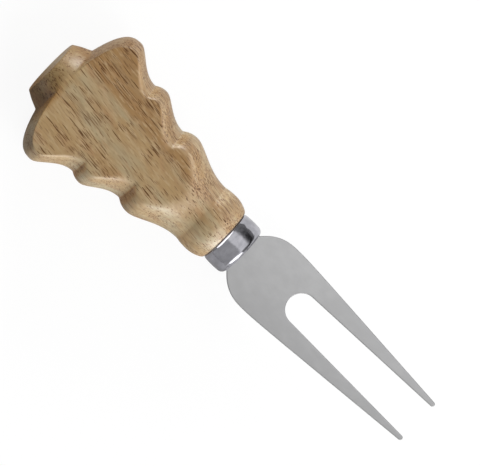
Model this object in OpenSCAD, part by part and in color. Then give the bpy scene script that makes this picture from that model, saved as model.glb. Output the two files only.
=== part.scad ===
// Small two-tined cheese fork: a turned, flat-sided wooden handle in the form of a tiered
// tree, a drawn steel ferrule on its tip, and a stamped steel blade whose tang is bonded in.
// +X runs along the handle to the tine tips, +Z leaves the front flat, and the back flat lies on Z = 0.

/* [Handle turning] */
// Length of the trunk stub at the butt
trunk_len = 4.8; // [3:0.1:8]
// Diameter of the trunk at its end face
trunk_end_d = 16.2; // [12:0.2:19]
// Diameter of the trunk where the skirt begins
trunk_root_d = 20.3; // [17:0.1:26]
// Radius on the edge of the trunk's end face
trunk_edge_r = 0.6; // [0.2:0.1:1.2]
// Length of the skirt's domed underside
skirt_rise = 7.7; // [5:0.1:9]
// Largest diameter of the skirt
skirt_d = 40; // [34:0.2:46]
// Length of the sweep from the skirt to the lower waist
skirt_fall = 9.6; // [8:0.1:14]
// Diameter of the lower waist
lower_waist_d = 29.6; // [25:0.2:33]
// Length of the middle tier's underside
middle_rise = 3.3; // [2:0.1:5]
// Largest diameter of the middle tier
middle_d = 31.6; // [28:0.2:36]
// Length of the sweep from the middle tier to the upper waist
middle_fall = 9.6; // [7:0.1:13]
// Diameter of the upper waist
upper_waist_d = 22.9; // [21:0.1:27]
// Length of the top tier's underside
top_rise = 4.1; // [3:0.1:6]
// Largest diameter of the top tier
top_d = 25.6; // [23:0.2:30]
// Length of the sweep from the top tier to the neck
top_fall = 13.3; // [9:0.1:15]
// Diameter of the neck
neck_d = 17.4; // [16:0.1:21]
// Length of the slight swell from the neck to the collar
collar_rise = 3.5; // [2:0.1:7]
// Largest diameter of the collar
collar_d = 18.1; // [17:0.1:22]
// Length over which the collar rounds down to the ferrule
collar_round = 4.4; // [3:0.1:7]

/* [Handle flats and curves] */
// Thickness of the handle between its front and back flats
handle_t = 19.4; // [17:0.1:24]
// Fullness of the skirt's underside, where 1 is a straight cone
skirt_fullness = 3; // [1.5:0.1:4]
// Fullness of the other undersides, where 1 is a straight cone
tier_fullness = 2.5; // [1.2:0.1:4]
// Skew of the sweeps, where a value below 1 puts their steep part nearer the tier
sweep_skew = 0.75; // [0.7:0.05:1.3]

/* [Ferrule] */
// Outer diameter of the ferrule
ferrule_d = 15; // [13:0.1:16]
// Length of the ferrule
ferrule_len = 6.5; // [5:0.1:10]
// Sheet thickness of the ferrule
ferrule_wall = 0.5; // [0.3:0.1:0.8]
// Outer radius of the drawn corner at the ferrule's closed end
ferrule_corner_r = 1.5; // [0.9:0.1:2]
// Radius on the ferrule's open edge
ferrule_edge_r = 0.25; // [0.1:0.05:0.3]
// How far the wood stands proud of the ferrule where they meet
wood_lip = 0.25; // [0:0.05:0.5]

/* [Blade] */
// Sheet thickness of the blade and its tang
blade_t = 1.2; // [0.8:0.1:2]
// Length of the blade from the ferrule to the tine tips
blade_len = 61.4; // [50:0.1:80]
// Width of the blade's shoulder where it meets the ferrule
shoulder_w = 11.3; // [9:0.1:12]
// Largest width of the blade
blade_w = 20.2; // [17:0.2:24]
// Distance from the ferrule to the widest place
widest_at = 10.1; // [7:0.1:14]
// Fullness of the flare from the shoulder to the widest place
flare_fullness = 2.75; // [1.5:0.05:4]
// Length over which the straight taper of the sides begins
taper_ease = 4.1; // [2:0.1:8]
// Width across both tines at their tips
tips_w = 12.9; // [12:0.1:16]
// Distance from the ferrule to the root of the gap between the tines
gap_root_at = 16.5; // [13:0.1:25]
// Width of the gap at its round root
gap_root_w = 8.2; // [6:0.1:9]
// Width of the gap at the tine tips
gap_tips_w = 10.3; // [8:0.1:11]

/* [Tang and bond] */
// Width of the tang inside the handle
tang_w = 6; // [4:0.1:8]
// Length of the tang from the blade's shoulder
tang_len = 34; // [20:1:45]
// Radius of the keying notches in the tang's edges
key_r = 0.8; // [0.4:0.1:1.2]
// Distance from the tang's end to its first notch, and between notches
key_pitch = 8; // [5:0.5:10]
// Length of the bevels on the tang's end corners
tang_bevel = 1.2; // [0.5:0.1:1.8]
// Clearance round the tang in the ferrule's slot
slot_fit = 0.1; // [0.05:0.05:0.3]
// Adhesive between the tang's edges and the wall of the bore
glue_gap = 0.4; // [0.2:0.1:1]
// Adhesive between the spigot and the ferrule
glue_line = 0.05; // [0.02:0.01:0.1]
// Room for adhesive beyond the end of the tang
bore_end_room = 1.5; // [0.5:0.5:4]

/* [Hidden] */

// Number of keying notches along each edge of the tang
key_count = 2;
// Straight pieces that stand for each curved stretch of an outline
skirt_steps = 14;
rise_steps = 8;
fall_steps = 14;
round_steps = 6;
flare_steps = 12;
ease_steps = 8;
// How far a cutting shape runs past the face that it cuts
over = 1;
$fn = 96;

// Stations along the axis, counted from the butt
skirt_root_x = trunk_len;
skirt_x = skirt_root_x + skirt_rise;
lower_waist_x = skirt_x + skirt_fall;
middle_x = lower_waist_x + middle_rise;
upper_waist_x = middle_x + middle_fall;
top_x = upper_waist_x + top_rise;
neck_x = top_x + top_fall;
collar_x = neck_x + collar_rise;
joint_x = collar_x + collar_round;
shoulder_x = joint_x + ferrule_len;
total_len = shoulder_x + blade_len;

joint_r = ferrule_d / 2 + wood_lip;
ferrule_bore_r = ferrule_d / 2 - ferrule_wall;
ferrule_inner_corner_r = max(ferrule_corner_r - ferrule_wall, ferrule_edge_r);
spigot_r = ferrule_bore_r - glue_line;
spigot_len = ferrule_len - ferrule_wall - glue_line;
spigot_end_x = joint_x + spigot_len;
tang_bore_r = norm([tang_w, blade_t]) / 2 + glue_gap;
tang_end_x = shoulder_x - tang_len;
bore_end_x = tang_end_x - bore_end_room;

// Stretch of the sides, past the widest place, that is drawn as a curve
ease_span = 2 * taper_ease;
tips_half = tips_w / 2;
gap_root_r = gap_root_w / 2;
gap_root_x = gap_root_at + gap_root_r;
tine_tip_r = (tips_w - gap_tips_w) / 4;
tine_tip_y = (tips_w + gap_tips_w) / 4;
tine_end_x = blade_len - tine_tip_r;

// A rounded climb from 0 to 1 that is steep at first and level at its end
function climb(s, fullness) = 1 - pow(1 - s, fullness);

// An S-shaped descent from 1 to 0 that is level at both ends
function descent(s) = (1 + cos(180 * pow(s, sweep_skew))) / 2;

// Points [radius, station] of an underside, without its first point
function rise_points(from, to, fullness, steps) = [
    for (i = [1 : steps])
        let (s = i / steps)
        [from[0] + (to[0] - from[0]) * climb(s, fullness), from[1] + (to[1] - from[1]) * s]
];

// Points [radius, station] of a sweep, without its first point
function fall_points(from, to) = [
    for (i = [1 : fall_steps])
        let (s = i / fall_steps)
        [to[0] + (from[0] - to[0]) * descent(s), from[1] + (to[1] - from[1]) * s]
];

// Points [radius, station] of a rounding that starts level, without its first point
function round_points(from, to) = [
    for (i = [1 : round_steps])
        let (s = i / round_steps)
        [from[0] + (to[0] - from[0]) * s * s, from[1] + (to[1] - from[1]) * s]
];

function arc_points(centre, r, start, end) = [
    for (i = [0 : round_steps])
        let (a = start + (end - start) * i / round_steps)
        centre + r * [cos(a), sin(a)]
];

// The turned outline of the handle as [radius, station], from the butt to the joint
trunk_root = [trunk_root_d / 2, skirt_root_x];
skirt = [skirt_d / 2, skirt_x];
lower_waist = [lower_waist_d / 2, lower_waist_x];
middle = [middle_d / 2, middle_x];
upper_waist = [upper_waist_d / 2, upper_waist_x];
top = [top_d / 2, top_x];
neck = [neck_d / 2, neck_x];
collar = [collar_d / 2, collar_x];
joint = [joint_r, joint_x];
tree_outline = concat(
    arc_points([trunk_end_d / 2 - trunk_edge_r, trunk_edge_r], trunk_edge_r, -90, 0),
    [trunk_root],
    rise_points(trunk_root, skirt, skirt_fullness, skirt_steps),
    fall_points(skirt, lower_waist),
    rise_points(lower_waist, middle, tier_fullness, rise_steps),
    fall_points(middle, upper_waist),
    rise_points(upper_waist, top, tier_fullness, rise_steps),
    fall_points(top, neck),
    rise_points(neck, collar, tier_fullness, rise_steps),
    round_points(collar, joint)
);

// The spigot that the ferrule covers, with the drawn corner's inner radius on its end
spigot_outline = concat(
    [[spigot_r, joint_x]],
    arc_points(
        [spigot_r - ferrule_inner_corner_r, spigot_end_x - ferrule_inner_corner_r],
        ferrule_inner_corner_r, 0, 90
    )
);

// Moves a shape that stands on its own axis at the butt into the part's frame
module along_axis(x = 0) {
    translate([x - total_len / 2, 0, handle_t / 2])
        rotate([0, 90, 0])
            children();
}

module turned_blank() {
    along_axis()
        rotate_extrude()
            polygon(concat([[0, 0]], tree_outline, spigot_outline, [[0, spigot_end_x]]));
}

module tang_bore() {
    along_axis(bore_end_x)
        cylinder(r = tang_bore_r, h = spigot_end_x - bore_end_x + over);
}

module handle() {
    color("burlywood")
        difference() {
            intersection() {
                turned_blank();
                translate([-total_len / 2 - over, -skirt_d, 0])
                    cube([total_len, 2 * skirt_d, handle_t]);
            }
            tang_bore();
        }
}

module ferrule_section() {
    ferrule_r = ferrule_d / 2;
    polygon(concat(
        [[ferrule_bore_r, 0]],
        arc_points([ferrule_r - ferrule_edge_r, ferrule_edge_r], ferrule_edge_r, -90, 0),
        arc_points(
            [ferrule_r - ferrule_corner_r, ferrule_len - ferrule_corner_r],
            ferrule_corner_r, 0, 90
        ),
        [[0, ferrule_len], [0, ferrule_len - ferrule_wall]],
        arc_points(
            [
                ferrule_bore_r - ferrule_inner_corner_r,
                ferrule_len - ferrule_wall - ferrule_inner_corner_r
            ],
            ferrule_inner_corner_r, 90, 0
        )
    ));
}

module ferrule() {
    color("lightslategray")
        difference() {
            along_axis(joint_x)
                rotate_extrude()
                    ferrule_section();
            translate([shoulder_x - total_len / 2, 0, handle_t / 2])
                cube(
                    [2 * (ferrule_wall + over), tang_w + 2 * slot_fit, blade_t + 2 * slot_fit],
                    center = true
                );
        }
}

// Half width of the blade at a distance from the shoulder
function flare_half(x) = (shoulder_w + (blade_w - shoulder_w) * climb(x / widest_at, flare_fullness)) / 2;
function eased(x) = norm([x, taper_ease]) - taper_ease;
function taper_half(x) =
    blade_w / 2 - (blade_w / 2 - tips_half) * eased(x - widest_at) / eased(tine_end_x - widest_at);

// One side of the blade as [distance from the shoulder, distance from the axis]: the tang, the flare,
// the eased start of the taper, the rounded tine tip and the way back to the root of the gap
blade_side = concat(
    [
        [-tang_len, tang_w / 2 - tang_bevel],
        [tang_bevel - tang_len, tang_w / 2],
        [0, tang_w / 2]
    ],
    [for (i = [0 : flare_steps]) let (x = widest_at * i / flare_steps) [x, flare_half(x)]],
    [
        for (i = [1 : ease_steps])
            let (x = widest_at + ease_span * i / ease_steps)
            [x, taper_half(x)]
    ],
    arc_points([tine_end_x, tine_tip_y], tine_tip_r, 90, -90),
    [[gap_root_x, gap_root_r]]
);

// The same points on the other side of the axis, in the order that closes the outline
function other_side(points) = [for (i = [len(points) - 1 : -1 : 0]) [points[i][0], -points[i][1]]];

// The stamped sheet, moved from its own drawing, which starts at the shoulder, to its place
module stamped_blade() {
    translate([shoulder_x - total_len / 2, 0, handle_t / 2])
        linear_extrude(blade_t, center = true)
            difference() {
                polygon(concat(blade_side, other_side(blade_side)));
                translate([gap_root_x, 0])
                    circle(gap_root_r);
                for (i = [1 : key_count], side = [-1, 1])
                    translate([i * key_pitch - tang_len, side * tang_w / 2])
                        circle(key_r);
            }
}

module fork_blade() {
    color("silver")
        stamped_blade();
}

module tang_adhesive() {
    color("khaki")
        difference() {
            along_axis(bore_end_x)
                cylinder(r = tang_bore_r, h = spigot_end_x - bore_end_x);
            stamped_blade();
        }
}

handle();
ferrule();
fork_blade();
tang_adhesive();
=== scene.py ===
import math

import bmesh
import bpy
from mathutils import Matrix, Vector


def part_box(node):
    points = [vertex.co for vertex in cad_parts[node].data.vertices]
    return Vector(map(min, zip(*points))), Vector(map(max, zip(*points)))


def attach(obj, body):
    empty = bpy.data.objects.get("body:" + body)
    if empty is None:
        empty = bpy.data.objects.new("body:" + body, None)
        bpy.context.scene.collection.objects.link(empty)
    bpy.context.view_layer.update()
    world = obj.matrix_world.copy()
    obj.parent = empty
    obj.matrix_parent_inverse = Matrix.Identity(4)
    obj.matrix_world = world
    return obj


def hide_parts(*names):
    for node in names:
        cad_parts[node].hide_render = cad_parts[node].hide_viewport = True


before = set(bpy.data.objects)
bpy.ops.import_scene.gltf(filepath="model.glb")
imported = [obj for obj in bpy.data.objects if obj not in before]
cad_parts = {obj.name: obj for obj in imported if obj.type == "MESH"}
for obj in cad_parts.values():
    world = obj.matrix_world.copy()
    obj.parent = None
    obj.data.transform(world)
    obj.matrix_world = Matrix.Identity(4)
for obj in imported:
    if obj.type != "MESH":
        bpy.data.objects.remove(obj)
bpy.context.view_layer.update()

# Units: the sizes below are millimetres, and every mesh is made in metres
MM = 0.001

# Places taken from the frame, in millimetres
BUTT_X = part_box("handle")[0].x / MM
JOINT_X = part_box("ferrule")[0].x / MM
SHOULDER_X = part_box("ferrule")[1].x / MM
TIPS_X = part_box("fork_blade")[1].x / MM
SPIGOT_END_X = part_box("handle")[1].x / MM
BORE_END_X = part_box("tang_adhesive")[0].x / MM
TANG_END_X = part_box("fork_blade")[0].x / MM
FLAT_HALF = (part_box("handle")[1].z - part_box("handle")[0].z) / MM / 2
AXIS_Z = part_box("handle")[0].z / MM + FLAT_HALF
SKIRT_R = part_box("handle")[1].y / MM
FERRULE_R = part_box("ferrule")[1].y / MM
BORE_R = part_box("tang_adhesive")[1].y / MM
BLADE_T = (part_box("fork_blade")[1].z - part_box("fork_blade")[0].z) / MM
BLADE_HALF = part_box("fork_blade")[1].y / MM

# The turned handle, from the butt to the ferrule
TRUNK_LEN = 4.8
TRUNK_END_R = 8.1
TRUNK_ROOT_R = 10.15
TRUNK_EDGE_R = 0.8
TRUNK_SHARES = (0.3, 0.45, 0.6, 0.75, 0.9, 0.97, 1.0)
SKIRT_RISE = 7.7
SKIRT_FALL = 9.6
LOWER_WAIST_R = 14.8
MIDDLE_RISE = 3.3
MIDDLE_R = 15.8
MIDDLE_FALL = 9.6
UPPER_WAIST_R = 11.45
TOP_RISE = 4.1
TOP_R = 12.8
TOP_FALL = 13.3
NECK_R = 8.7
COLLAR_RISE = 3.5
COLLAR_R = 9.05
LOWER_WAIST_AT = TRUNK_LEN + SKIRT_RISE + SKIRT_FALL
UPPER_WAIST_AT = LOWER_WAIST_AT + MIDDLE_RISE + MIDDLE_FALL
NECK_AT = UPPER_WAIST_AT + TOP_RISE + TOP_FALL
WOOD_LIP = 0.25
WOOD_EDGE_R = 0.25
WOOD_EDGE_SWELL = 0.05
SKIRT_FULLNESS = 3.0
TIER_FULLNESS = 2.5
SWEEP_SKEW = 0.75
BUTT_EDGE_SOFTNESS = 0.5
EDGE_SOFTNESS = 1.4
SOFTER_FROM = 9.0
SOFTER_TO = 15.0
SANDING_PASSES = 3
HANDLE_AROUND = 320
SKIRT_STEPS = 34
SWEEP_STEPS = 30
TIER_STEPS = 14
COLLAR_STEPS = 12
RISE_CROWDING = 1.4
HANDLE_CREASE = 50
MERGE_DISTANCE = 0.001

# The drawn ferrule
FERRULE_WALL = 0.5
FERRULE_CORNER_R = 1.5
FERRULE_LIP_R = 2.0
FERRULE_LIP_TURN = 40
FERRULE_CROWN = 0.08
GLUE_LINE = 0.05
SLOT_FIT = 0.1
END_FACE_RIM = 0.25
FERRULE_AROUND = 192
FERRULE_STEPS = 12
FERRULE_CREASE = 35

# The stamped blade
SHOULDER_HALF = 5.65
WIDEST_AT = 10.1
FLARE_FULLNESS = 2.75
TAPER_EASE = 4.1
TIPS_HALF = 6.45
GAP_ROOT_AT = 16.5
GAP_ROOT_R = 4.1
GAP_TIPS_HALF = 5.15
TANG_HALF = 3.0
TANG_BEVEL = 1.2
KEY_R = 0.8
KEY_PITCH = 8.0
KEY_COUNT = 2
TUMBLED_R = 0.25
TUMBLED_TURNS = (0, 18, 36, 54, 72, 90)
FACE_RIM = 0.15
BLADE_CROWN = 0.16
CROWN_STRIPS = 24
FLARE_STEPS = 32
TAPER_STEPS = 30
GAP_STEPS = 16
BLADE_CREASE = 60
MITER_LEAST = 0.5

# The photograph's frame and the object's place in it
IMAGE_W = 481
IMAGE_H = 466
BUTT_PIXEL = (50.3, 66.9)
AXIS_BELOW_LEVEL = math.radians(44.05)
PIXEL_MM = 0.24885
VIEW_LEAN = math.radians(5.5)
CAMERA_FAR = 2500.0
SENSOR_WIDTH = 36.0

# The wood's grain: its turn on the flat, its dip, its sway in millimetres and the sways to a metre
GRAIN_TURN = math.radians(7.5)
GRAIN_DIP = math.radians(3.0)
GRAIN_SWAY = 0.7
GRAIN_SWAYS = 110.0

# Streaks in the wood: how many to a metre along and across the grain, and their detail
TONE_STREAKS = (14.0, 95.0, 2.0)
PATCH_STREAKS = (55.0, 150.0, 2.0)
BAND_STREAKS = (24.0, 420.0, 3.0)
BROWN_STREAKS = (120.0, 330.0, 2.0)
FLECK_STREAKS = (300.0, 1300.0, 2.0)
FIBRE_STREAKS = (320.0, 2600.0, 2.0)
CLUSTER_STREAKS = (60.0, 230.0, 2.0)

# Pores: their cells to a metre along and across the grain, and their size in a cell
LARGE_PORES = (135.0, 3300.0, 0.52)
LONG_PORES = (60.0, 3500.0, 0.5)
SMALL_PORES = (300.0, 3300.0, 0.46)
PORE_VARIES = 0.6
PORE_LEAST = 0.4
PORE_EDGE = (0.0, 0.3)
HALO_EDGE = (-1.0, 0.5)

# The wood's colours
PALE_WOOD = (0.284, 0.219, 0.117, 1.0)
TAN_WOOD = (0.276, 0.174, 0.068, 1.0)
BROWN_WOOD = (0.27, 0.145, 0.055, 1.0)
RED_WOOD = (0.22, 0.11, 0.023, 1.0)
LIGHT_BAND = (0.38, 0.28, 0.15, 1.0)
DARK_BAND = (0.19, 0.108, 0.038, 1.0)
LIGHT_FLECK = (0.39, 0.288, 0.155, 1.0)
DARK_FIBRE = (0.16, 0.086, 0.029, 1.0)
PORE_HALO = (0.2, 0.085, 0.018, 1.0)
SMALL_PORE = (0.12, 0.047, 0.01, 1.0)
OPEN_PORE = (0.065, 0.022, 0.004, 1.0)
# A pale veil of painted sheen on the turned sides
PAINTED_SHEEN_VEIL = (0.56, 0.5, 0.46, 1.0)
# Wear at the arrises, partly a painted highlight
ARRIS_WEAR_AND_HIGHLIGHT = (0.46, 0.35, 0.22, 1.0)
# A painted shadow in the joint with the ferrule
PAINTED_JOINT_SHADOW = (0.03, 0.017, 0.01, 1.0)

# Tints, which multiply the wood's colour: painted sheen on the turned sides, a warmer tint on the trunk,
# painted shade on one side of it, and painted light in the hollows
PAINTED_SHEEN_TINT = (1.09, 1.15, 1.26, 1.0)
TRUNK_TINT = (1.04, 1.0, 0.9, 1.0)
PAINTED_TRUNK_SHADE = (0.68, 0.52, 0.26, 1.0)
PAINTED_HOLLOW_BOUNCE = (1.24, 0.99, 0.7, 1.0)
PAINTED_HOLLOW_LIGHT = (1.4, 1.55, 1.8, 1.0)

# Masks in the wood: their limits, and where they differ from 0 and 1 the amounts at them
TURNED_LIMITS = (0.98, 0.8)
END_GRAIN_LIMITS = (0.15, 0.55)
BUTT_LIMITS = (-0.1, -0.4)
REDDER_LIMITS = (0.36, 0.64)
CLUSTER_LIMITS = (0.43, 0.57)
TAN_LIMITS = (0.38, 0.6)
BROWN_LIMITS = (0.52, 0.7, 0.0, 0.6)
LIGHT_BAND_LIMITS = (0.48, 0.75, 0.0, 0.45)
DARK_BAND_LIMITS = (0.48, 0.25, 0.0, 0.45)
LIGHT_FLECK_LIMITS = (0.5, 0.7, 0.0, 0.5)
DARK_FIBRE_LIMITS = (0.48, 0.72)
ARRIS_WEAR_AND_HIGHLIGHT_LIMITS = (0.35, 0.6, 0.0, 0.16)
RED_AMOUNT = 0.88
HALO_AMOUNT = 0.5
SMALL_PORE_AMOUNT = 0.85
PAINTED_SHEEN_VEIL_AMOUNT = 0.05
PAINTED_JOINT_SHADOW_AMOUNT = 0.8

# Where they lie: limits across the grain with amounts, across the handle, and lengths along it
REDDER_SIDE = (-1.6, 2.4, -0.22, 0.24)
CALMER_SIDE = (2.2, 4.8, 0.0, 0.15)
TRUNK_FADE = 2.0
# The trunk's -Y side, which gets painted shade
PAINTED_TRUNK_SHADE_SIDE = (4.0, -7.0)
# The side of the hollows that gets paler painted light
PAINTED_HOLLOW_LIGHT_SIDE = (-2.0, 6.0)
LOWER_HOLLOW = 2.0
UPPER_HOLLOW = 2.4
NECK_HOLLOW = 3.2
HOLLOW_FROM = -0.4
HOLLOW_FULL = 0.1
HOLLOW_FADES = 0.4
# Where the painted joint shadow starts and where it is full
PAINTED_JOINT_SHADOW_FROM = 0.22
PAINTED_JOINT_SHADOW_FULL = 0.08
PORE_DEPTH = 0.15

# Steel: marks and waves to a metre, their depth in millimetres, and the mottle as a share of the tint
SATIN_FINISH = {
    "tint": (0.8, 0.8, 0.805), "mottle": 0.06, "rough": 0.3, "rough_spread": 0.12,
    "turn": (0.0, 0.0, 0.0), "marks_along": 400.0, "marks_across": 6000.0,
    "marks_depth": 0.01, "waves_depth": 0.02,
}
POLISHED_FINISH = {
    "tint": (0.67, 0.666, 0.72), "mottle": 0.26, "rough": 0.08, "rough_spread": 0.08,
    "turn": (0.0, 0.0, math.pi / 2), "marks_along": 200.0, "marks_across": 4000.0,
    "marks_depth": 0.004, "waves_depth": 0.1,
}
STEEL_CLOUDS = (60.0, 60.0, 3.0)
STEEL_WAVES = (300.0, 420.0, 2.0)
MARKS_DETAIL = 2.0
PATCHY_LIMITS = (0.75, 1.25)
CLOUDS_SHARE = 0.4
MARKS_SHARE = 0.6

# Adhesive
EPOXY_CLOUDS = (300.0, 300.0, 3.0)
DARK_EPOXY = (0.55, 0.42, 0.2, 1.0)
PALE_EPOXY = (0.68, 0.55, 0.3, 1.0)
EPOXY_ROUGHNESS = (0.2, 0.8, 0.2, 0.45)

# The floor: half its side in metres, and its height a hair under the back flat
FLOOR_HALF = 3.0
FLOOR_Z = -0.05
WHITE = (1.0, 1.0, 1.0, 1.0)
SEEN_FLOOR = (0.95, 0.95, 0.95, 1.0)
UNSEEN_FLOOR = (0.38, 0.38, 0.38, 1.0)
SEEN_WHITE = 0.92
# A white glow on the floor that only mirrored rays see, stronger on the +Y side: a painted reflection
MIRRORED_GLOW = (0.05, 0.5)
MIRRORED_GLOW_SIDE = (-5.0, 5.0)

# Light levels, where 1 makes a white card white
ROOM_LEVEL = 0.03
PANEL_LEVEL = 0.59
CARD_LEVEL = 0.2
FRONT_CARD_LEVEL = 0.8
MIRRORED_ROOM_LEVEL = 0.15

# What the steel mirrors: leans to the side in degrees, and shares of the way to the fork's ends
PANEL_LEANS = (-6, 2, 36, 52)
PANEL_REACH = (0.5, 0.75)
CARD_LEANS = (-130, -80, -6, 2)
CARD_REACH = (0.3, 0.6)
GAP_LEANS = (50, 58, 70, 84)
GAP_AHEAD = (-0.1, 0.2)
FRONT_CARD_SIDE = (0.03, -0.03)
FRONT_CARD_AHEAD = (0.3, 0.5)
FRONT_CARD_TOP = (0.6, 0.85, 1.0, 0.45)

# Lamps: azimuth, elevation, width and height in metres, and level
LAMP_FAR = 1.2
WOOD_LAMPS = {
    "low softbox": (-25, 12, 1.0, 0.45, 1.58),
    "rim softbox": (122, 15, 0.6, 0.45, 0.97),
    "side softbox": (48, 33, 1.5, 1.2, 0.76),
    "top softbox": (-8, 47, 0.6, 0.45, 0.42),
    "fill softbox": (-140, 10, 0.6, 0.45, 0.2),
}
FERRULE_LAMPS = {
    "lip card": (-170, 35, 2.2, 1.2, 0.93),
    "shoulder card": (-28, 22, 1.3, 0.9, 0.25),
}


# Small helpers for node trees

def put(tree, socket, value):
    """Links a socket to another one, or sets its value."""
    if isinstance(value, bpy.types.NodeSocket):
        tree.links.new(value, socket)
    else:
        socket.default_value = value


def add(tree, kind, settings=None, **inputs):
    """Adds a node with its settings and named inputs. An underscore in an input's name is a space."""
    made = tree.nodes.new(kind)
    for name, value in (settings or {}).items():
        setattr(made, name, value)
    for name, value in inputs.items():
        put(tree, made.inputs[name.replace("_", " ")], value)
    return made


def math_node(tree, operation, *values):
    """The result of a sum on values or sockets."""
    made = tree.nodes.new("ShaderNodeMath")
    made.operation = operation
    for socket, value in zip(made.inputs, values):
        put(tree, socket, value)
    return made.outputs[0]


def vector_node(tree, operation, first, second):
    """The same for two vectors."""
    made = tree.nodes.new("ShaderNodeVectorMath")
    made.operation = operation
    put(tree, made.inputs[0], first)
    put(tree, made.inputs[1], second)
    return made.outputs["Vector"]


def mix_colors(tree, factor, first, second, blend="MIX"):
    """The first colour, mixed with the second by a factor."""
    made = tree.nodes.new("ShaderNodeMix")
    made.data_type = "RGBA"
    made.blend_type = blend
    put(tree, made.inputs[0], factor)
    put(tree, made.inputs[6], first)
    put(tree, made.inputs[7], second)
    return made.outputs[2]


def smooth_range(tree, value, low, high, to_low=0.0, to_high=1.0):
    """A smooth step from one value to another as the given value goes from low to high."""
    made = add(
        tree, "ShaderNodeMapRange", {"interpolation_type": "SMOOTHSTEP"},
        Value=value, From_Min=low, From_Max=high, To_Min=to_low, To_Max=to_high,
    )
    return made.outputs[0]


def mix_shaders(tree, factor, first, second):
    """The first shader, mixed with the second by a factor."""
    made = tree.nodes.new("ShaderNodeMixShader")
    put(tree, made.inputs[0], factor)
    put(tree, made.inputs[1], first)
    put(tree, made.inputs[2], second)
    return made.outputs[0]


def new_group(name, kind, inputs, outputs):
    """A node group with named sockets. Each input is (name, socket type, default or None)."""
    group = bpy.data.node_groups.new(name, kind)
    for socket_name, socket_type, default in inputs:
        socket = group.interface.new_socket(socket_name, in_out="INPUT", socket_type=socket_type)
        if default is not None:
            socket.default_value = default
    for socket_name, socket_type in outputs:
        group.interface.new_socket(socket_name, in_out="OUTPUT", socket_type=socket_type)
    source = group.nodes.new("NodeGroupInput")
    sink = group.nodes.new("NodeGroupOutput")
    return group, source.outputs, sink.inputs


def place_group(tree, group, **inputs):
    """Places a group in a tree with its named inputs, and gives its outputs."""
    made = tree.nodes.new("ShaderNodeGroup")
    made.node_tree = group
    for name, value in inputs.items():
        put(tree, made.inputs[name.replace("_", " ")], value)
    return made.outputs


def new_material(name):
    """A material with an empty Principled shader, and its node tree."""
    material = bpy.data.materials.new(name)
    material.use_nodes = True
    tree = material.node_tree
    tree.nodes.clear()
    shader = tree.nodes.new("ShaderNodeBsdfPrincipled")
    out = tree.nodes.new("ShaderNodeOutputMaterial")
    tree.links.new(shader.outputs[0], out.inputs["Surface"])
    return material, tree, shader


# Shader groups

def pore_group():
    """Long vessels cut open by the surface: spindles along the grain, one to a cell at most."""
    group, given, result = new_group(
        "wood pores", "ShaderNodeTree",
        [
            ("Grain", "NodeSocketVector", None),
            ("Cells Along", "NodeSocketFloat", 60.0),
            ("Cells Across", "NodeSocketFloat", 2000.0),
            ("Size", "NodeSocketFloat", 0.36),
            ("Share", "NodeSocketFloat", 0.7),
        ],
        [("Pore", "NodeSocketFloat"), ("Halo", "NodeSocketFloat")],
    )
    stretch = add(
        group, "ShaderNodeCombineXYZ",
        X=given["Cells Along"], Y=given["Cells Across"], Z=given["Cells Across"],
    )
    cells = add(
        group, "ShaderNodeTexVoronoi", {"voronoi_dimensions": "3D"},
        Vector=vector_node(group, "MULTIPLY", given["Grain"], stretch.outputs[0]), Scale=1.0,
    )
    chance = add(group, "ShaderNodeSeparateColor", Color=cells.outputs["Color"])
    size = math_node(group, "MULTIPLY_ADD", chance.outputs[0], PORE_VARIES, PORE_LEAST)
    size = math_node(group, "MULTIPLY", given["Size"], size)
    present = math_node(group, "LESS_THAN", chance.outputs[1], given["Share"])
    strength = math_node(group, "MULTIPLY_ADD", chance.outputs[2], PORE_VARIES, PORE_LEAST)
    strength = math_node(group, "MULTIPLY", present, strength)
    off_middle = math_node(group, "DIVIDE", cells.outputs["Distance"], size)
    inside = math_node(group, "SUBTRACT", 1.0, off_middle)
    pore = smooth_range(group, inside, *PORE_EDGE)
    halo = smooth_range(group, inside, *HALO_EDGE)
    put(group, result["Pore"], math_node(group, "MULTIPLY", pore, strength))
    put(group, result["Halo"], math_node(group, "MULTIPLY", halo, strength))
    return group


def streak_group():
    """Soft streaks that run along the grain, from 0 to 1."""
    group, given, result = new_group(
        "grain streaks", "ShaderNodeTree",
        [
            ("Grain", "NodeSocketVector", None),
            ("Along", "NodeSocketFloat", 20.0),
            ("Across", "NodeSocketFloat", 300.0),
            ("Detail", "NodeSocketFloat", 2.0),
        ],
        [("Mask", "NodeSocketFloat")],
    )
    stretch = add(group, "ShaderNodeCombineXYZ", X=given["Along"], Y=given["Across"], Z=given["Across"])
    noise = add(
        group, "ShaderNodeTexNoise", {"noise_dimensions": "3D"},
        Vector=vector_node(group, "MULTIPLY", given["Grain"], stretch.outputs[0]),
        Scale=1.0, Detail=given["Detail"], Roughness=0.55,
    )
    put(group, result["Mask"], noise.outputs[0])
    return group


# Materials

def wood_grain(tree, place):
    """Coordinates whose first axis follows the grain, which sways a little."""
    bend = add(
        tree, "ShaderNodeTexNoise", {"noise_dimensions": "3D"},
        Vector=place, Scale=GRAIN_SWAYS, Detail=1.0,
    )
    sway = vector_node(tree, "SUBTRACT", bend.outputs["Color"], (0.5, 0.5, 0.5))
    sway = vector_node(tree, "MULTIPLY", sway, (0.0, GRAIN_SWAY * MM, GRAIN_SWAY * MM))
    turned = add(
        tree, "ShaderNodeMapping",
        Vector=vector_node(tree, "ADD", place, sway), Rotation=(0.0, GRAIN_DIP, GRAIN_TURN),
    )
    return turned.outputs[0]


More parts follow.
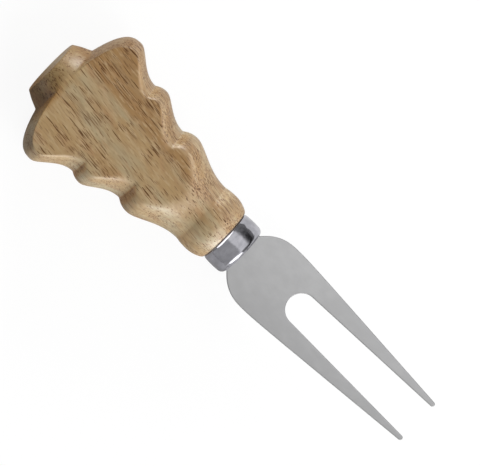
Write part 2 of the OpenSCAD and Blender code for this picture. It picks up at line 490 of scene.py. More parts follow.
def wood_material(pores, streaks):
    """Satin light hardwood: solid grain with open pores that every cut surface shows its own way."""
    material, tree, shader = new_material("satin light hardwood")
    place = tree.nodes.new("ShaderNodeTexCoord")
    spot = add(tree, "ShaderNodeSeparateXYZ", Vector=place.outputs["Object"])
    station = spot.outputs["X"]
    side = spot.outputs["Y"]
    grain = wood_grain(tree, place.outputs["Object"])
    across = add(tree, "ShaderNodeSeparateXYZ", Vector=grain).outputs["Y"]
    facing = add(tree, "ShaderNodeSeparateXYZ", Vector=place.outputs["Normal"])

    def times(first, second):
        return math_node(tree, "MULTIPLY", first, second)

    def scaled(value, factor, plus):
        return math_node(tree, "MULTIPLY_ADD", value, factor, plus)

    def less(first, second):
        return math_node(tree, "SUBTRACT", first, second)

    def either(first, second):
        return math_node(tree, "MAXIMUM", first, second)

    def between(value, low, high, to_low=0.0, to_high=1.0):
        return smooth_range(tree, value, low, high, to_low, to_high)

    def between_mm(value, low, high, to_low=0.0, to_high=1.0):
        return smooth_range(tree, value, low * MM, high * MM, to_low, to_high)

    def streaked(along, across_grain, detail):
        made = place_group(tree, streaks, Grain=grain, Along=along, Across=across_grain, Detail=detail)
        return made["Mask"]

    def pored(share, along, across_grain, size):
        return place_group(
            tree, pores, Grain=grain, Cells_Along=along, Cells_Across=across_grain, Size=size, Share=share,
        )

    def toward(color, factor, tint):
        return mix_colors(tree, factor, color, tint)

    def multiplied(color, factor, multiplier):
        return mix_colors(tree, factor, color, multiplier, "MULTIPLY")

    def hollow(at, length):
        """1 in the hollow that starts at a waist and ends a length further to the tips."""
        start = BUTT_X + at
        opening = between_mm(station, start + HOLLOW_FROM, start + HOLLOW_FULL)
        closing = between_mm(station, start + HOLLOW_FADES * length, start + length, 1.0, 0.0)
        return times(opening, closing)

    # How a surface was cut: turned and not planed, and across the grain
    turned = between(math_node(tree, "ABSOLUTE", facing.outputs["Z"]), *TURNED_LIMITS)
    end_grain = between(math_node(tree, "ABSOLUTE", facing.outputs["X"]), *END_GRAIN_LIMITS)
    to_butt = between(facing.outputs["X"], *BUTT_LIMITS)
    # Painted light: the turned sides that don't face the butt, made paler below as painted sheen
    painted_light = times(turned, less(1.0, to_butt))

    # Streaks, with redder wood on one side of the grain
    drift = between_mm(across, *REDDER_SIDE)
    drift = less(drift, between_mm(across, *CALMER_SIDE))
    redder = between(math_node(tree, "ADD", streaked(*TONE_STREAKS), drift), *REDDER_LIMITS)
    patches = streaked(*PATCH_STREAKS)
    bands = streaked(*BAND_STREAKS)
    fibres = streaked(*FIBRE_STREAKS)
    clusters = between(scaled(redder, 0.06, streaked(*CLUSTER_STREAKS)), *CLUSTER_LIMITS)

    # Pores, which keep to clusters and to the redder wood
    share = scaled(scaled(redder, 0.7, 0.5), clusters, 0.1)
    large = pored(share, *LARGE_PORES)
    long = pored(times(share, 0.7), *LONG_PORES)
    small = pored(scaled(clusters, 0.4, 0.2), *SMALL_PORES)["Pore"]
    pore = either(large["Pore"], long["Pore"])
    halo = either(large["Halo"], long["Halo"])

    # The colour of the wood itself
    color = toward(PALE_WOOD, between(patches, *TAN_LIMITS), TAN_WOOD)
    color = toward(color, between(streaked(*BROWN_STREAKS), *BROWN_LIMITS), BROWN_WOOD)
    color = toward(color, times(redder, RED_AMOUNT), RED_WOOD)
    color = toward(color, between(bands, *LIGHT_BAND_LIMITS), LIGHT_BAND)
    color = toward(color, between(bands, *DARK_BAND_LIMITS), DARK_BAND)
    color = toward(color, between(streaked(*FLECK_STREAKS), *LIGHT_FLECK_LIMITS), LIGHT_FLECK)
    lined = times(between(fibres, *DARK_FIBRE_LIMITS), scaled(turned, 0.3, 0.4))
    color = toward(color, lined, DARK_FIBRE)
    color = toward(color, times(halo, HALO_AMOUNT), PORE_HALO)
    color = toward(color, times(small, SMALL_PORE_AMOUNT), SMALL_PORE)
    color = toward(color, pore, OPEN_PORE)

    # Painted sheen on the turned sides that don't face the butt, and wear at the arrises that is partly a
    # painted highlight
    color = multiplied(color, painted_light, PAINTED_SHEEN_TINT)
    color = toward(color, times(painted_light, PAINTED_SHEEN_VEIL_AMOUNT), PAINTED_SHEEN_VEIL)
    # Wear at the arrises, partly a painted highlight
    arris = add(tree, "ShaderNodeAttribute", {"attribute_name": "arris"}).outputs["Fac"]
    color = toward(color, times(arris, between(patches, *ARRIS_WEAR_AND_HIGHLIGHT_LIMITS)), ARRIS_WEAR_AND_HIGHLIGHT)

    # A warmer tint on the trunk and painted shade on one side of it, painted light in the hollows, and a
    # painted shadow at the ferrule's joint
    trunk_end = BUTT_X + TRUNK_LEN
    trunk = between_mm(station, trunk_end, trunk_end + TRUNK_FADE, 1.0, 0.0)
    # Painted shade on the trunk's -Y side
    trunk_painted_shade = times(trunk, between_mm(side, *PAINTED_TRUNK_SHADE_SIDE))
    color = multiplied(color, trunk, TRUNK_TINT)
    color = multiplied(color, trunk_painted_shade, PAINTED_TRUNK_SHADE)
    # Painted light in the hollows: a warm bounce on the -Y side and paler lit wood on the +Y side
    painted_lit_side = between_mm(side, *PAINTED_HOLLOW_LIGHT_SIDE)
    waists = either(hollow(LOWER_WAIST_AT, LOWER_HOLLOW), hollow(UPPER_WAIST_AT, UPPER_HOLLOW))
    neck = times(hollow(NECK_AT, NECK_HOLLOW), scaled(painted_lit_side, 0.7, 0.3))
    multiplier = mix_colors(tree, painted_lit_side, PAINTED_HOLLOW_BOUNCE, PAINTED_HOLLOW_LIGHT)
    color = multiplied(color, times(either(waists, neck), turned), multiplier)
    # A painted shadow along the wood at the ferrule's joint
    joint_shadow = between_mm(
        station, JOINT_X - PAINTED_JOINT_SHADOW_FROM, JOINT_X - PAINTED_JOINT_SHADOW_FULL, 0.0, PAINTED_JOINT_SHADOW_AMOUNT,
    )
    put(tree, shader.inputs["Base Color"], toward(color, joint_shadow, PAINTED_JOINT_SHADOW))

    # Relief and gloss
    depth = either(pore, times(small, 0.5))
    height = scaled(depth, -1.0, times(fibres, 0.25))
    bump = add(tree, "ShaderNodeBump", Strength=0.5, Distance=PORE_DEPTH * MM, Height=height)
    put(tree, shader.inputs["Normal"], bump.outputs[0])
    put(tree, shader.inputs["Roughness"], scaled(depth, 0.25, scaled(fibres, 0.2, 0.5)))
    shader.inputs["Specular IOR Level"].default_value = 0.25
    lacquer = scaled(trunk_painted_shade, -0.3, scaled(end_grain, -0.2, 0.85))
    put(tree, shader.inputs["Coat Weight"], times(lacquer, less(1.0, depth)))
    shader.inputs["Coat Roughness"].default_value = 0.42
    shader.inputs["Coat IOR"].default_value = 1.55
    return material


def steel_material(
    name, streaks, tint, mottle, rough, rough_spread,
    turn, marks_along, marks_across, marks_depth, waves_depth,
):
    """Stainless steel with fine finishing marks one way, in a face that is a little patchy and uneven."""
    material, tree, shader = new_material(name)
    place = tree.nodes.new("ShaderNodeTexCoord")
    turned = add(tree, "ShaderNodeMapping", Vector=place.outputs["Object"], Rotation=turn).outputs[0]

    def marked(along, across, detail):
        return place_group(tree, streaks, Grain=turned, Along=along, Across=across, Detail=detail)["Mask"]

    marks = marked(marks_along, marks_across, MARKS_DETAIL)
    clouds = marked(*STEEL_CLOUDS)
    waves = marked(*STEEL_WAVES)
    shade = tuple(channel * (1.0 - mottle) for channel in tint)
    patchy = smooth_range(tree, math_node(tree, "ADD", clouds, waves), *PATCHY_LIMITS)
    put(tree, shader.inputs["Base Color"], mix_colors(tree, patchy, (*tint, 1.0), (*shade, 1.0)))
    spread = math_node(tree, "MULTIPLY", marks, MARKS_SHARE)
    spread = math_node(tree, "MULTIPLY_ADD", clouds, CLOUDS_SHARE, spread)
    put(tree, shader.inputs["Roughness"], math_node(tree, "MULTIPLY_ADD", spread, rough_spread, rough))
    uneven = add(tree, "ShaderNodeBump", Strength=1.0, Distance=waves_depth * MM, Height=waves)
    bump = add(
        tree, "ShaderNodeBump",
        Strength=0.3, Distance=marks_depth * MM, Height=marks, Normal=uneven.outputs[0],
    )
    put(tree, shader.inputs["Normal"], bump.outputs[0])
    shader.inputs["Metallic"].default_value = 1.0
    return material


def epoxy_material(streaks):
    """Glossy adhesive, cured a little cloudy."""
    material, tree, shader = new_material("cured epoxy")
    place = tree.nodes.new("ShaderNodeTexCoord").outputs["Object"]
    along, across, detail = EPOXY_CLOUDS
    clouds = place_group(tree, streaks, Grain=place, Along=along, Across=across, Detail=detail)["Mask"]
    put(tree, shader.inputs["Base Color"], mix_colors(tree, clouds, DARK_EPOXY, PALE_EPOXY))
    put(tree, shader.inputs["Roughness"], smooth_range(tree, clouds, *EPOXY_ROUGHNESS))
    return material


def floor_material():
    """A pale floor that is white to the eye, keeps a soft shadow and throws little light back.

    The steel mirrors a white glow in it, stronger on the fork's +Y side: a painted reflection. It is no
    lamp: nothing else sees its white.
    """
    material, tree, shader = new_material("white floor")
    rays = tree.nodes.new("ShaderNodeLightPath").outputs
    camera = rays["Is Camera Ray"]
    mirrored = math_node(tree, "MAXIMUM", rays["Is Glossy Ray"], rays["Is Transmission Ray"])
    put(tree, shader.inputs["Base Color"], mix_colors(tree, camera, UNSEEN_FLOOR, SEEN_FLOOR))
    shader.inputs["Roughness"].default_value = 0.9
    shader.inputs["Specular IOR Level"].default_value = 0.0
    place = tree.nodes.new("ShaderNodeTexCoord").outputs["Object"]
    side = add(tree, "ShaderNodeSeparateXYZ", Vector=place).outputs["Y"]
    # Painted reflection: the white glow that only mirrored rays see, stronger on the +Y side
    low, high = MIRRORED_GLOW_SIDE
    painted_light = smooth_range(tree, side, low * MM, high * MM, *MIRRORED_GLOW)
    seen = math_node(tree, "MULTIPLY", mirrored, painted_light)
    seen = math_node(tree, "MAXIMUM", seen, math_node(tree, "MULTIPLY", camera, SEEN_WHITE))
    white = add(tree, "ShaderNodeEmission", Color=WHITE, Strength=1.0).outputs[0]
    out = next(node for node in tree.nodes if node.type == "OUTPUT_MATERIAL")
    put(tree, out.inputs["Surface"], mix_shaders(tree, seen, shader.outputs[0], white))
    material.cycles.emission_sampling = "NONE"
    return material


# Outlines, in millimetres

def climb(s, fullness):
    """A rounded climb from 0 to 1 that is steep at first and level at its end."""
    return 1.0 - (1.0 - s) ** fullness


def descent(s):
    """An S-shaped descent from 1 to 0 that is level at both ends."""
    return (1.0 + math.cos(math.pi * s ** SWEEP_SKEW)) / 2.0


def rise(points, length, r, fullness, steps):
    """Adds an underside that climbs from the last point to radius r."""
    x0, r0 = points[-1]
    for i in range(1, steps + 1):
        s = (i / steps) ** RISE_CROWDING
        points.append((x0 + length * s, r0 + (r - r0) * climb(s, fullness)))


def fall(points, length, r, steps):
    """Adds a sweep that comes down from the last point to radius r."""
    x0, r0 = points[-1]
    for i in range(1, steps + 1):
        s = i / steps
        points.append((x0 + length * s, r + (r0 - r) * descent(s)))


def arc(center, r, start, end, steps):
    """Points of an arc, its angles in degrees, both ends included."""
    angles = [math.radians(start + (end - start) * i / steps) for i in range(steps + 1)]
    return [(center[0] + r * math.cos(a), center[1] + r * math.sin(a)) for a in angles]


def sanded(points, passes):
    """The same outline with its corners eased, as sandpaper leaves them. The ends stay."""
    for _ in range(passes):
        inner = [
            tuple((a + 2.0 * b + c) / 4.0 for a, b, c in zip(before, here, after))
            for before, here, after in zip(points, points[1:], points[2:])
        ]
        points = [points[0], *inner, points[-1]]
    return points


def handle_outline():
    """The handle's closed section as (station, radius) from the middle of the butt to the bore's end."""
    joint_x = JOINT_X - BUTT_X
    joint_r = FERRULE_R + WOOD_LIP
    outer = [(0.0, TRUNK_END_R - 3 * TRUNK_EDGE_R)]
    outer += arc((TRUNK_EDGE_R, TRUNK_END_R - TRUNK_EDGE_R), TRUNK_EDGE_R, 180, 90, 8)
    outer += [
        (TRUNK_LEN * s, TRUNK_END_R + (TRUNK_ROOT_R - TRUNK_END_R) * s)
        for s in TRUNK_SHARES
    ]
    rise(outer, SKIRT_RISE, SKIRT_R, SKIRT_FULLNESS, SKIRT_STEPS)
    fall(outer, SKIRT_FALL, LOWER_WAIST_R, SKIRT_STEPS)
    rise(outer, MIDDLE_RISE, MIDDLE_R, TIER_FULLNESS, TIER_STEPS)
    fall(outer, MIDDLE_FALL, UPPER_WAIST_R, SWEEP_STEPS)
    rise(outer, TOP_RISE, TOP_R, TIER_FULLNESS, TIER_STEPS)
    fall(outer, TOP_FALL, NECK_R, SWEEP_STEPS)
    rise(outer, COLLAR_RISE, COLLAR_R, TIER_FULLNESS, COLLAR_STEPS)
    collar_x = outer[-1][0]
    outer += [
        (collar_x + (joint_x - collar_x) * s, COLLAR_R + (joint_r - COLLAR_R) * s * s)
        for s in (i / TIER_STEPS for i in range(1, TIER_STEPS))
    ]
    outer.append((joint_x - WOOD_EDGE_R, joint_r + WOOD_EDGE_SWELL))
    outer += arc((joint_x - WOOD_EDGE_R, joint_r - WOOD_EDGE_R), WOOD_EDGE_R, 75, 0, 4)
    outer = sanded(outer, SANDING_PASSES)

    spigot_r = FERRULE_R - FERRULE_WALL - GLUE_LINE
    spigot_end = SPIGOT_END_X - BUTT_X
    bore_end = BORE_END_X - BUTT_X
    inner_r = FERRULE_CORNER_R - FERRULE_WALL
    hidden = [(joint_x, spigot_r)]
    hidden += arc((spigot_end - inner_r, spigot_r - inner_r), inner_r, 90, 0, 5)
    hidden += [(spigot_end, BORE_R), (bore_end, BORE_R), (bore_end, 0.0)]
    return [(0.0, 0.0), *outer, *hidden]


# Turning: a section revolved about the part's axis, and flats planed on it

def turning_group():
    """Turns a section given as points, planes two flats on it, and marks the arrises between them."""
    group, given, result = new_group(
        "turn and plane", "GeometryNodeTree",
        [
            ("Section", "NodeSocketGeometry", None),
            ("Around", "NodeSocketInt", 96),
            ("Axis Height", "NodeSocketFloat", 0.0),
            ("Flat Half Thickness", "NodeSocketFloat", 1.0),
            ("Butt Edge Softness", "NodeSocketFloat", 0.001),
            ("Edge Softness", "NodeSocketFloat", 0.001),
            ("Softer From", "NodeSocketFloat", 0.0),
            ("Softer To", "NodeSocketFloat", 1.0),
            ("Material", "NodeSocketMaterial", None),
        ],
        [("Geometry", "NodeSocketGeometry")],
    )
    count = add(
        group, "GeometryNodeAttributeDomainSize", {"component": "MESH"}, Geometry=given["Section"],
    )
    columns = math_node(group, "ADD", given["Around"], 1.0)
    grid = add(
        group, "GeometryNodeMeshGrid",
        Size_X=1.0, Size_Y=1.0, Vertices_X=count.outputs["Point Count"], Vertices_Y=columns,
    )
    index = group.nodes.new("GeometryNodeInputIndex").outputs[0]
    ring = math_node(group, "DIVIDE", math_node(group, "ADD", index, 0.5), columns)
    ring = math_node(group, "FLOOR", ring)
    column = math_node(group, "SUBTRACT", index, math_node(group, "MULTIPLY", ring, columns))
    angle = math_node(group, "MULTIPLY", math_node(group, "DIVIDE", column, given["Around"]), math.tau)
    spot = add(
        group, "GeometryNodeSampleIndex", {"data_type": "FLOAT_VECTOR", "domain": "POINT"},
        Geometry=given["Section"], Index=ring,
        Value=group.nodes.new("GeometryNodeInputPosition").outputs[0],
    )
    spot = add(group, "ShaderNodeSeparateXYZ", Vector=spot.outputs[0])
    across = math_node(group, "MULTIPLY", spot.outputs["Z"], math_node(group, "COSINE", angle))
    up = math_node(group, "MULTIPLY", spot.outputs["Z"], math_node(group, "SINE", angle))
    softness = smooth_range(
        group, spot.outputs["X"], given["Softer From"], given["Softer To"],
        given["Butt Edge Softness"], given["Edge Softness"],
    )
    off_axis = math_node(group, "ABSOLUTE", up)
    planed = math_node(group, "SMOOTH_MIN", off_axis, given["Flat Half Thickness"], softness)
    planed = math_node(group, "MULTIPLY", planed, math_node(group, "SIGN", up))
    turned = add(
        group, "ShaderNodeCombineXYZ",
        X=spot.outputs["X"], Y=across, Z=math_node(group, "ADD", planed, given["Axis Height"]),
    )
    placed = add(
        group, "GeometryNodeSetPosition", Geometry=grid.outputs["Mesh"], Position=turned.outputs[0],
    )
    off_edge = math_node(group, "SUBTRACT", off_axis, given["Flat Half Thickness"])
    off_edge = math_node(group, "DIVIDE", math_node(group, "ABSOLUTE", off_edge), softness)
    arris_mask = add(
        group, "GeometryNodeStoreNamedAttribute", {"data_type": "FLOAT", "domain": "POINT"},
        Geometry=placed.outputs[0], Name="arris",
        Value=smooth_range(group, off_edge, 0.0, 0.8, 1.0, 0.0),
    )
    closed = add(
        group, "GeometryNodeMergeByDistance",
        Geometry=arris_mask.outputs[0], Distance=MERGE_DISTANCE * MM,
    )
    smooth = add(group, "GeometryNodeSetShadeSmooth", Geometry=closed.outputs[0])
    real = add(group, "GeometryNodeRealizeInstances", Geometry=smooth.outputs[0])
    finished = add(group, "GeometryNodeSetMaterial", Geometry=real.outputs[0], Material=given["Material"])
    put(group, result["Geometry"], finished.outputs[0])
    return group


def plain_mesh(source, name):
    """The evaluated result of an object's modifiers as a new plain object. The source goes."""
    depsgraph = bpy.context.evaluated_depsgraph_get()
    mesh = bpy.data.meshes.new_from_object(source.evaluated_get(depsgraph), depsgraph=depsgraph)
    mesh.name = name
    for slot in reversed([i for i, held in enumerate(mesh.materials) if held is None]):
        mesh.materials.pop(index=slot)
    old = source.data
    bpy.data.objects.remove(source)
    bpy.data.meshes.remove(old)
    made = bpy.data.objects.new(name, mesh)
    bpy.context.scene.collection.objects.link(made)
    return made


def outward(piece, crease_degrees):
    """Turns every face outwards and keeps the edges sharp that bend more than the crease."""
    work = bmesh.new()
    work.from_mesh(piece.data)
    bmesh.ops.recalc_face_normals(work, faces=work.faces)
    work.to_mesh(piece.data)
    work.free()
    piece.data.set_sharp_from_angle(angle=math.radians(crease_degrees))


def turned_handle(group, material):
    """The wooden handle, turned and then planed flat on its front and back."""
    section = bpy.data.meshes.new("handle section")
    points = [((BUTT_X + x) * MM, 0.0, r * MM) for x, r in handle_outline()]
    section.from_pydata(points, [(i, i + 1) for i in range(len(points) - 1)], [])
    source = bpy.data.objects.new("handle section", section)
    bpy.context.scene.collection.objects.link(source)
    turning = source.modifiers.new("turn and plane", "NODES")
    turning.node_group = group
    sizes = {
        "Around": HANDLE_AROUND,
        "Axis Height": AXIS_Z * MM,
        "Flat Half Thickness": FLAT_HALF * MM,
        "Butt Edge Softness": BUTT_EDGE_SOFTNESS * MM,
        "Edge Softness": EDGE_SOFTNESS * MM,
        "Softer From": (BUTT_X + SOFTER_FROM) * MM,
        "Softer To": (BUTT_X + SOFTER_TO) * MM,
        "Material": material,
    }
    for item in group.interface.items_tree:
        if item.name in sizes:
            turning[item.identifier] = sizes[item.name]
    made = plain_mesh(source, "turned_handle")
    outward(made, HANDLE_CREASE)
    return made


# The ferrule: rings round the axis, the last ones drawn in to the slot

def slot_angles(half_w, half_t):
    """Even angles round the axis, with four of them moved onto the corners of the tang's slot."""
    step = math.tau / FERRULE_AROUND
    angles = [i * step for i in range(FERRULE_AROUND)]
    corner = math.atan2(half_t, half_w)
    for turn in (corner, math.pi - corner, math.pi + corner, math.tau - corner):
        angles[round(turn / step) % FERRULE_AROUND] = turn
    return angles


def ring_round(x, r, angles):
    """Points of a circle round the axis, one at each angle."""
    return [(x * MM, r * math.cos(a) * MM, (AXIS_Z + r * math.sin(a)) * MM) for a in angles]


def slot_ring(x, half_w, half_t, angles):
    """Points on the slot's outline, one in the direction of each angle."""
    points = []
    for a in angles:
        c, s = math.cos(a), math.sin(a)
        reach = min(half_w / max(abs(c), 1e-9), half_t / max(abs(s), 1e-9))
        points.append((x * MM, reach * c * MM, (AXIS_Z + reach * s) * MM))
    return points


def join_rings(rings, closed):
    """Quads between each ring and the next, and where closed from the last ring to the first."""
    around = len(rings[0])
    corners = [point for ring in rings for point in ring]
    faces = []
    for k in range(len(rings) if closed else len(rings) - 1):
        a, b = k * around, (k + 1) % len(rings) * around
        faces += [(a + i, a + (i + 1) % around, b + (i + 1) % around, b + i) for i in range(around)]
    return corners, faces


def finished_piece(mesh, material, crease_degrees):
    """A mesh as an object of the same name, with its material and smooth faces that point outwards."""
    made = bpy.data.objects.new(mesh.name, mesh)
    bpy.context.scene.collection.objects.link(made)
    mesh.materials.append(material)
    mesh.shade_smooth()
    outward(made, crease_degrees)
    return made


def drawn_ferrule(material):
    """The steel cap: a rolled lip at the wood, a faint crown, a round shoulder and the tang's slot."""
    bore_r = FERRULE_R - FERRULE_WALL
    inner_r = FERRULE_CORNER_R - FERRULE_WALL
    end_r = FERRULE_R - FERRULE_CROWN
    corner_x = SHOULDER_X - FERRULE_CORNER_R
    inner_x = SHOULDER_X - FERRULE_WALL
    lip_x = JOINT_X + FERRULE_LIP_R * math.sin(math.radians(FERRULE_LIP_TURN))
    outer = arc((lip_x, end_r - FERRULE_LIP_R), FERRULE_LIP_R, 90 + FERRULE_LIP_TURN, 90, 10)
    outer += [
        (lip_x + (corner_x - lip_x) * s, end_r + FERRULE_CROWN * 4 * s * (1 - s))
        for s in (i / FERRULE_STEPS for i in range(1, FERRULE_STEPS))
    ]
    outer += arc((corner_x, end_r - FERRULE_CORNER_R), FERRULE_CORNER_R, 90, 0, 16)
    outer.append((SHOULDER_X, end_r - FERRULE_CORNER_R - END_FACE_RIM))
    inner = [(inner_x, bore_r - inner_r)]
    inner += arc((inner_x - inner_r, bore_r - inner_r), inner_r, 0, 90, 6)[1:]
    inner.append((JOINT_X, bore_r))

    half_w = TANG_HALF + SLOT_FIT
    half_t = BLADE_T / 2 + SLOT_FIT
    angles = slot_angles(half_w, half_t)
    rings = [ring_round(x, r, angles) for x, r in outer]
    rings += [slot_ring(x, half_w, half_t, angles) for x in (SHOULDER_X, inner_x)]
    rings += [ring_round(x, r, angles) for x, r in inner]
    corners, faces = join_rings(rings, True)
    mesh = bpy.data.meshes.new("drawn_ferrule")
    mesh.from_pydata(corners, [], faces)
    return finished_piece(mesh, material, FERRULE_CREASE)


# The blade: one stamped sheet with its edges tumbled round

def eased(x):
    """A slope that starts level and grows straight."""
    return math.hypot(x, TAPER_EASE) - TAPER_EASE


def blade_outline():
    """The sheet's outline as (distance from the shoulder, distance from the axis), anticlockwise."""
    blade_len = TIPS_X - SHOULDER_X
    tang_len = SHOULDER_X - TANG_END_X
    tip_r = (TIPS_HALF - GAP_TIPS_HALF) / 2
    tip_y = (TIPS_HALF + GAP_TIPS_HALF) / 2
    tine_end = blade_len - tip_r
    gap_root_x = GAP_ROOT_AT + GAP_ROOT_R

    side = [(-tang_len, TANG_HALF - TANG_BEVEL), (TANG_BEVEL - tang_len, TANG_HALF)]
    for i in range(1, KEY_COUNT + 1):
        side += arc((i * KEY_PITCH - tang_len, TANG_HALF), KEY_R, 180, 360, 10)
    side.append((0.0, TANG_HALF))
    side += [
        (WIDEST_AT * s, SHOULDER_HALF + (BLADE_HALF - SHOULDER_HALF) * climb(s, FLARE_FULLNESS))
        for s in (i / FLARE_STEPS for i in range(FLARE_STEPS + 1))
    ]
    run = tine_end - WIDEST_AT
    drop = (BLADE_HALF - TIPS_HALF) / eased(run)
    side += [
        (WIDEST_AT + run * s * s, BLADE_HALF - drop * eased(run * s * s))
        for s in (i / TAPER_STEPS for i in range(1, TAPER_STEPS))
    ]
    side += arc((tine_end, tip_y), tip_r, 90, -90, 12)
    side += [
        (tine_end + (gap_root_x - tine_end) * s, GAP_TIPS_HALF + (GAP_ROOT_R - GAP_TIPS_HALF) * s)
        for s in (i / GAP_STEPS for i in range(1, GAP_STEPS))
    ]
    side += arc((gap_root_x, 0.0), GAP_ROOT_R, 90, 180, 24)
    other = [(x, -y) for x, y in reversed(side[:-1])]
    return list(reversed(side + other))


def inset(points, depth):
    """The same outline moved inwards by a depth, along the bisector at each corner."""
    moved = []
    for i, here in enumerate(points):
        before = Vector(points[i - 1])
        after = Vector(points[(i + 1) % len(points)])
        first = (Vector(here) - before).normalized()
        second = (after - Vector(here)).normalized()
        normal = Vector((-first.y - second.y, first.x + second.x)).normalized()
        miter = max(normal.dot(Vector((-first.y, first.x))), MITER_LEAST)
        moved.append(Vector(here) + normal * (depth / miter))
    return moved


def crown(mesh):
    """Cuts a sheet into strips along the axis, and thins it a little from the axis to its edges."""
    work = bmesh.new()
    work.from_mesh(mesh)
    for i in range(1, CROWN_STRIPS):
        y = BLADE_HALF * (2 * i / CROWN_STRIPS - 1)
        bmesh.ops.bisect_plane(
            work, geom=[*work.verts, *work.edges, *work.faces],
            plane_co=(0.0, y * MM, 0.0), plane_no=(0.0, 1.0, 0.0),
        )
    for corner in work.verts:
        thinned = 1.0 - BLADE_CROWN / (BLADE_T / 2) * (corner.co.y / (BLADE_HALF * MM)) ** 2
        corner.co.z = AXIS_Z * MM + (corner.co.z - AXIS_Z * MM) * thinned
    work.to_mesh(mesh)
    work.free()


def stamped_blade(material):
    """The sheet of blade and tang: rings that follow its outline round the tumbled edge, and two caps."""
    outline = blade_outline()
    half_t = BLADE_T / 2
    levels = []
    for a in TUMBLED_TURNS:
        depth = TUMBLED_R * (1 - math.cos(math.radians(a)))
        levels.append((depth, half_t - TUMBLED_R + TUMBLED_R * math.sin(math.radians(a))))
    levels.append((TUMBLED_R + FACE_RIM, half_t))
    levels = [(depth, -z) for depth, z in reversed(levels)] + levels
    rings = []
    for depth, z in levels:
        rings.append([
            ((SHOULDER_X + p.x) * MM, p.y * MM, (AXIS_Z + z) * MM) for p in inset(outline, depth)
        ])
    around = len(outline)
    corners, faces = join_rings(rings, False)
    faces.append(tuple(reversed(range(around))))
    faces.append(tuple(range(len(corners) - around, len(corners))))
    mesh = bpy.data.meshes.new("stamped_blade")
    mesh.from_pydata(corners, [], faces)
    crown(mesh)
    return finished_piece(mesh, material, BLADE_CREASE)


# Camera, floor and light

def image_axes():
    """The part's directions that lie to the right, upwards and towards the eye in the picture."""
    toward_eye = Vector((-math.sin(VIEW_LEAN), 0.0, math.cos(VIEW_LEAN)))
    along = Vector((math.cos(VIEW_LEAN), 0.0, math.sin(VIEW_LEAN)))
    across = Vector((0.0, 1.0, 0.0))
    c, s = math.cos(AXIS_BELOW_LEVEL), math.sin(AXIS_BELOW_LEVEL)
    return along * c + across * s, across * c - along * s, toward_eye


def add_camera():
    """A long lens, straight over the fork but for a slight lean to the butt."""
    right, up, toward_eye = image_axes()
    butt = Vector((BUTT_X, 0.0, AXIS_Z))
    shift_right = (IMAGE_W / 2 - BUTT_PIXEL[0]) * PIXEL_MM
    shift_down = (IMAGE_H / 2 - BUTT_PIXEL[1]) * PIXEL_MM
    target = butt + right * shift_right - up * shift_down
    data = bpy.data.cameras.new("camera")
    data.sensor_fit = "HORIZONTAL"
    data.sensor_width = SENSOR_WIDTH
    data.lens = data.sensor_width * CAMERA_FAR / (IMAGE_W * PIXEL_MM)
    data.clip_start = 0.01
    data.clip_end = 100.0
    camera = bpy.data.objects.new("camera", data)
    turn = Matrix((right, up, toward_eye)).transposed().to_4x4()
    camera.matrix_world = Matrix.Translation((target + toward_eye * CAMERA_FAR) * MM) @ turn
    bpy.context.scene.collection.objects.link(camera)
    bpy.context.scene.camera = camera


def add_softbox(name, azimuth, elevation, width, height, level, shaded=(), lit=()):
    """An oval lamp that faces the fork. It leaves out the shaded pieces, or lights the lit ones alone.

    A white card turned to it looks as bright as the level says.
    """
    a, e = math.radians(azimuth), math.radians(elevation)
    direction = Vector((math.cos(e) * math.cos(a), math.cos(e) * math.sin(a), math.sin(e)))
    data = bpy.data.lights.new(name, "AREA")
    data.shape = "ELLIPSE"
    data.size = width
    data.size_y = height
    data.energy = level * (math.pi * LAMP_FAR) ** 2
    lamp = bpy.data.objects.new(name, data)
    lamp.location = direction * LAMP_FAR
    lamp.rotation_euler = direction.to_track_quat("Z", "Y").to_euler()
    bpy.context.scene.collection.objects.link(lamp)
    reach = bpy.data.collections.new(name + " reach")
    for piece in (*shaded, *lit):
        reach.objects.link(piece)
    for held in reach.collection_objects:
        held.light_linking.link_state = "EXCLUDE" if shaded else "INCLUDE"
    lamp.light_linking.receiver_collection = reach


def add_floor(material):
    """A square floor under the fork, which is no part of it."""
    mesh = bpy.data.meshes.new("floor")
    sides = ((-1, -1), (1, -1), (1, 1), (-1, 1))
    corners = [(x * FLOOR_HALF, y * FLOOR_HALF, FLOOR_Z * MM) for x, y in sides]
    mesh.from_pydata(corners, [], [(0, 1, 2, 3)])
    floor = bpy.data.objects.new("floor", mesh)
    mesh.materials.append(material)
    bpy.context.scene.collection.objects.link(floor)


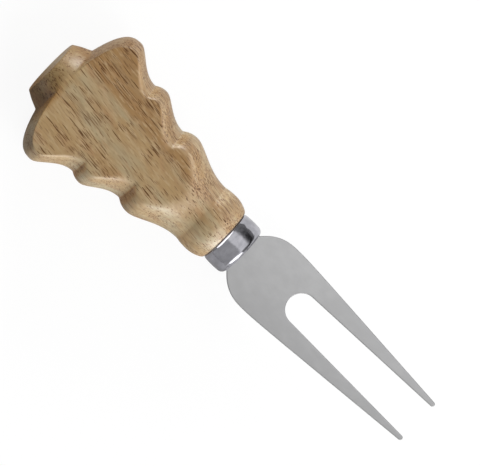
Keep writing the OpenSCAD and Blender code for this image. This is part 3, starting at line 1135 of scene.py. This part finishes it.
def add_world():
    """A dim room made for the steel to mirror. Behind everything that the eye sees it is white.

    A pale panel and a grey card hang overhead, a dark gap lies beside the panel, and another card stands
    in front of the tips, on the side of the grey one.
    """
    world = bpy.data.worlds.new("studio")
    world.use_nodes = True
    tree = world.node_tree
    tree.nodes.clear()
    rays = tree.nodes.new("ShaderNodeLightPath").outputs
    way = tree.nodes.new("ShaderNodeTexCoord").outputs["Generated"]
    way = add(tree, "ShaderNodeSeparateXYZ", Vector=way).outputs
    lean = math_node(tree, "ARCTAN2", way["Y"], way["Z"])
    off_middle = math_node(tree, "ABSOLUTE", way["X"])

    def times(first, second):
        return math_node(tree, "MULTIPLY", first, second)

    def band(low, low_full, high_full, high):
        """1 between two leans to the side, in degrees."""
        rising = smooth_range(tree, lean, math.radians(low), math.radians(low_full))
        falling = smooth_range(tree, lean, math.radians(high_full), math.radians(high), 1.0, 0.0)
        return times(rising, falling)

    def reach(full, none):
        """1 in the plane square to the fork, and 0 at a share of the way to its tips or butt."""
        return smooth_range(tree, off_middle, full, none, 1.0, 0.0)

    panel = times(band(*PANEL_LEANS), reach(*PANEL_REACH))
    card = times(band(*CARD_LEANS), reach(*CARD_REACH))
    gap = times(band(*GAP_LEANS), smooth_range(tree, way["X"], *GAP_AHEAD))
    front = smooth_range(tree, way["Y"], *FRONT_CARD_SIDE)
    front = times(front, smooth_range(tree, way["X"], *FRONT_CARD_AHEAD))
    front = times(front, smooth_range(tree, way["Z"], *FRONT_CARD_TOP))
    mirrored = math_node(tree, "MULTIPLY_ADD", card, CARD_LEVEL, MIRRORED_ROOM_LEVEL)
    mirrored = math_node(tree, "MULTIPLY_ADD", gap, -MIRRORED_ROOM_LEVEL, mirrored)
    mirrored = math_node(tree, "MULTIPLY_ADD", panel, PANEL_LEVEL, mirrored)
    mirrored = math_node(tree, "MULTIPLY_ADD", front, FRONT_CARD_LEVEL, mirrored)
    level = math_node(tree, "MULTIPLY_ADD", mirrored, rays["Is Glossy Ray"], ROOM_LEVEL)
    room = add(tree, "ShaderNodeBackground", Color=WHITE, Strength=level).outputs[0]
    white = add(tree, "ShaderNodeBackground", Color=WHITE, Strength=1.0).outputs[0]
    out = tree.nodes.new("ShaderNodeOutputWorld")
    put(tree, out.inputs["Surface"], mix_shaders(tree, rays["Is Camera Ray"], room, white))
    bpy.context.scene.world = world


# Assembly

bpy.context.scene.view_settings.view_transform = "Standard"
add_camera()
add_world()
add_floor(floor_material())
pores = pore_group()
streaks = streak_group()
wood = wood_material(pores, streaks)
satin_steel = steel_material("satin steel", streaks, **SATIN_FINISH)
polished_steel = steel_material("polished steel", streaks, **POLISHED_FINISH)
epoxy = epoxy_material(streaks)

handle = turned_handle(turning_group(), wood)
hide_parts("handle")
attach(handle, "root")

ferrule = drawn_ferrule(polished_steel)
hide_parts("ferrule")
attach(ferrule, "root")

blade = stamped_blade(satin_steel)
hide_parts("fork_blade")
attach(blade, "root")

for name, setting in WOOD_LAMPS.items():
    add_softbox(name, *setting, shaded=(ferrule, blade))
for name, setting in FERRULE_LAMPS.items():
    add_softbox(name, *setting, lit=(ferrule,))

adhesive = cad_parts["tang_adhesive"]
for held in adhesive.material_slots:
    held.material = epoxy
